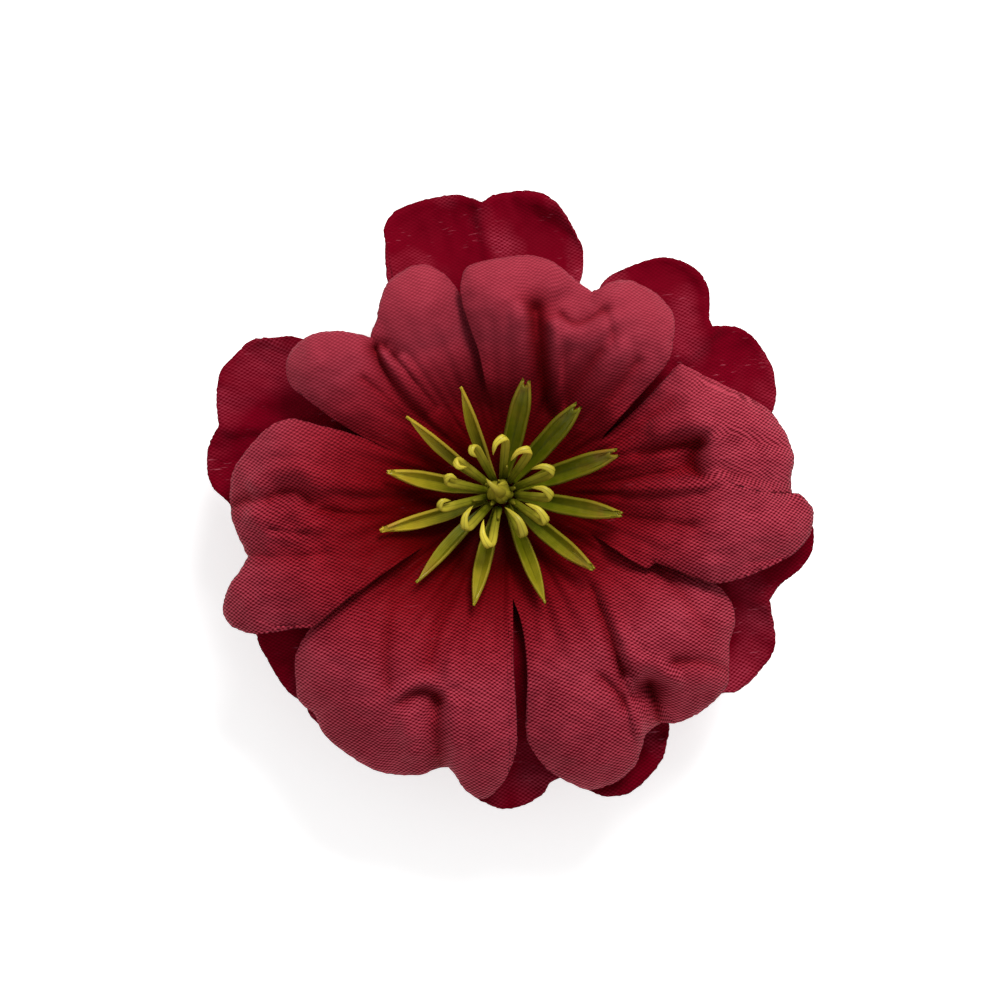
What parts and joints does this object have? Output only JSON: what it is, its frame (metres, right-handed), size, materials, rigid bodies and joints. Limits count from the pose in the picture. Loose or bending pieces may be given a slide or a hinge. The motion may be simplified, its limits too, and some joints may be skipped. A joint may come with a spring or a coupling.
{
  "type": "flower hair clip",
  "caption": "Fabric flower of layered, lobed petals with a moulded green centre, glued to a felt-backed, sprung, toothed steel hair clip that opens.",
  "frame": {"origin": "on the surface that the clip's lever rests on, straight under the flower's axis", "axes": "+Z the way the flower faces, +X from the clip's hinge to its nose, Y along the hinge"},
  "size_m": [0.0898, 0.0898, 0.0331],
  "materials": {
    "upper_satin": "woven satin in crimson with pinkish lit threads",
    "lower_satin": "smooth dark red satin",
    "green_plastic": "moulded green plastic",
    "leaflet_plastic": "moulded green plastic with yellow tips",
    "hook_plastic": "moulded yellow-green plastic",
    "hot_melt_glue": "set hot-melt glue",
    "felt": "pressed felt",
    "clip_steel": "nickel-plated sheet steel",
    "pin_steel": "peened steel rivet",
    "spring_steel": "drawn spring wire"
  },
  "bodies": {
    "flower_and_upper_arm": {"upper_petal_layer": "upper_satin", "lower_petal_layer": "lower_satin", "petal_spacer": "green_plastic", "outer_leaflet_ring": "leaflet_plastic", "inner_hook_ring": "hook_plastic", "centre_bud": "hook_plastic", "back_cap": "green_plastic", "cap_glue_layer": "hot_melt_glue", "felt_disc": "felt", "clip_glue_bead": "hot_melt_glue", "clip_upper_arm": "clip_steel", "hinge_pin": "pin_steel", "torsion_spring": "spring_steel"},
    "lower_arm": {"clip_lower_arm": "clip_steel"}
  },
  "joints": [
    {"name": "clip_open", "type": "hinge", "parent": "flower_and_upper_arm", "child": "lower_arm", "pos_m": [-0.009, 0, 0.00773], "axis": [0, 1, 0], "range_deg": [0, 35], "stiffness_Nm_per_rad": 0.12, "springref_deg": -57.3, "deforming": ["torsion_spring"]}
  ]
}
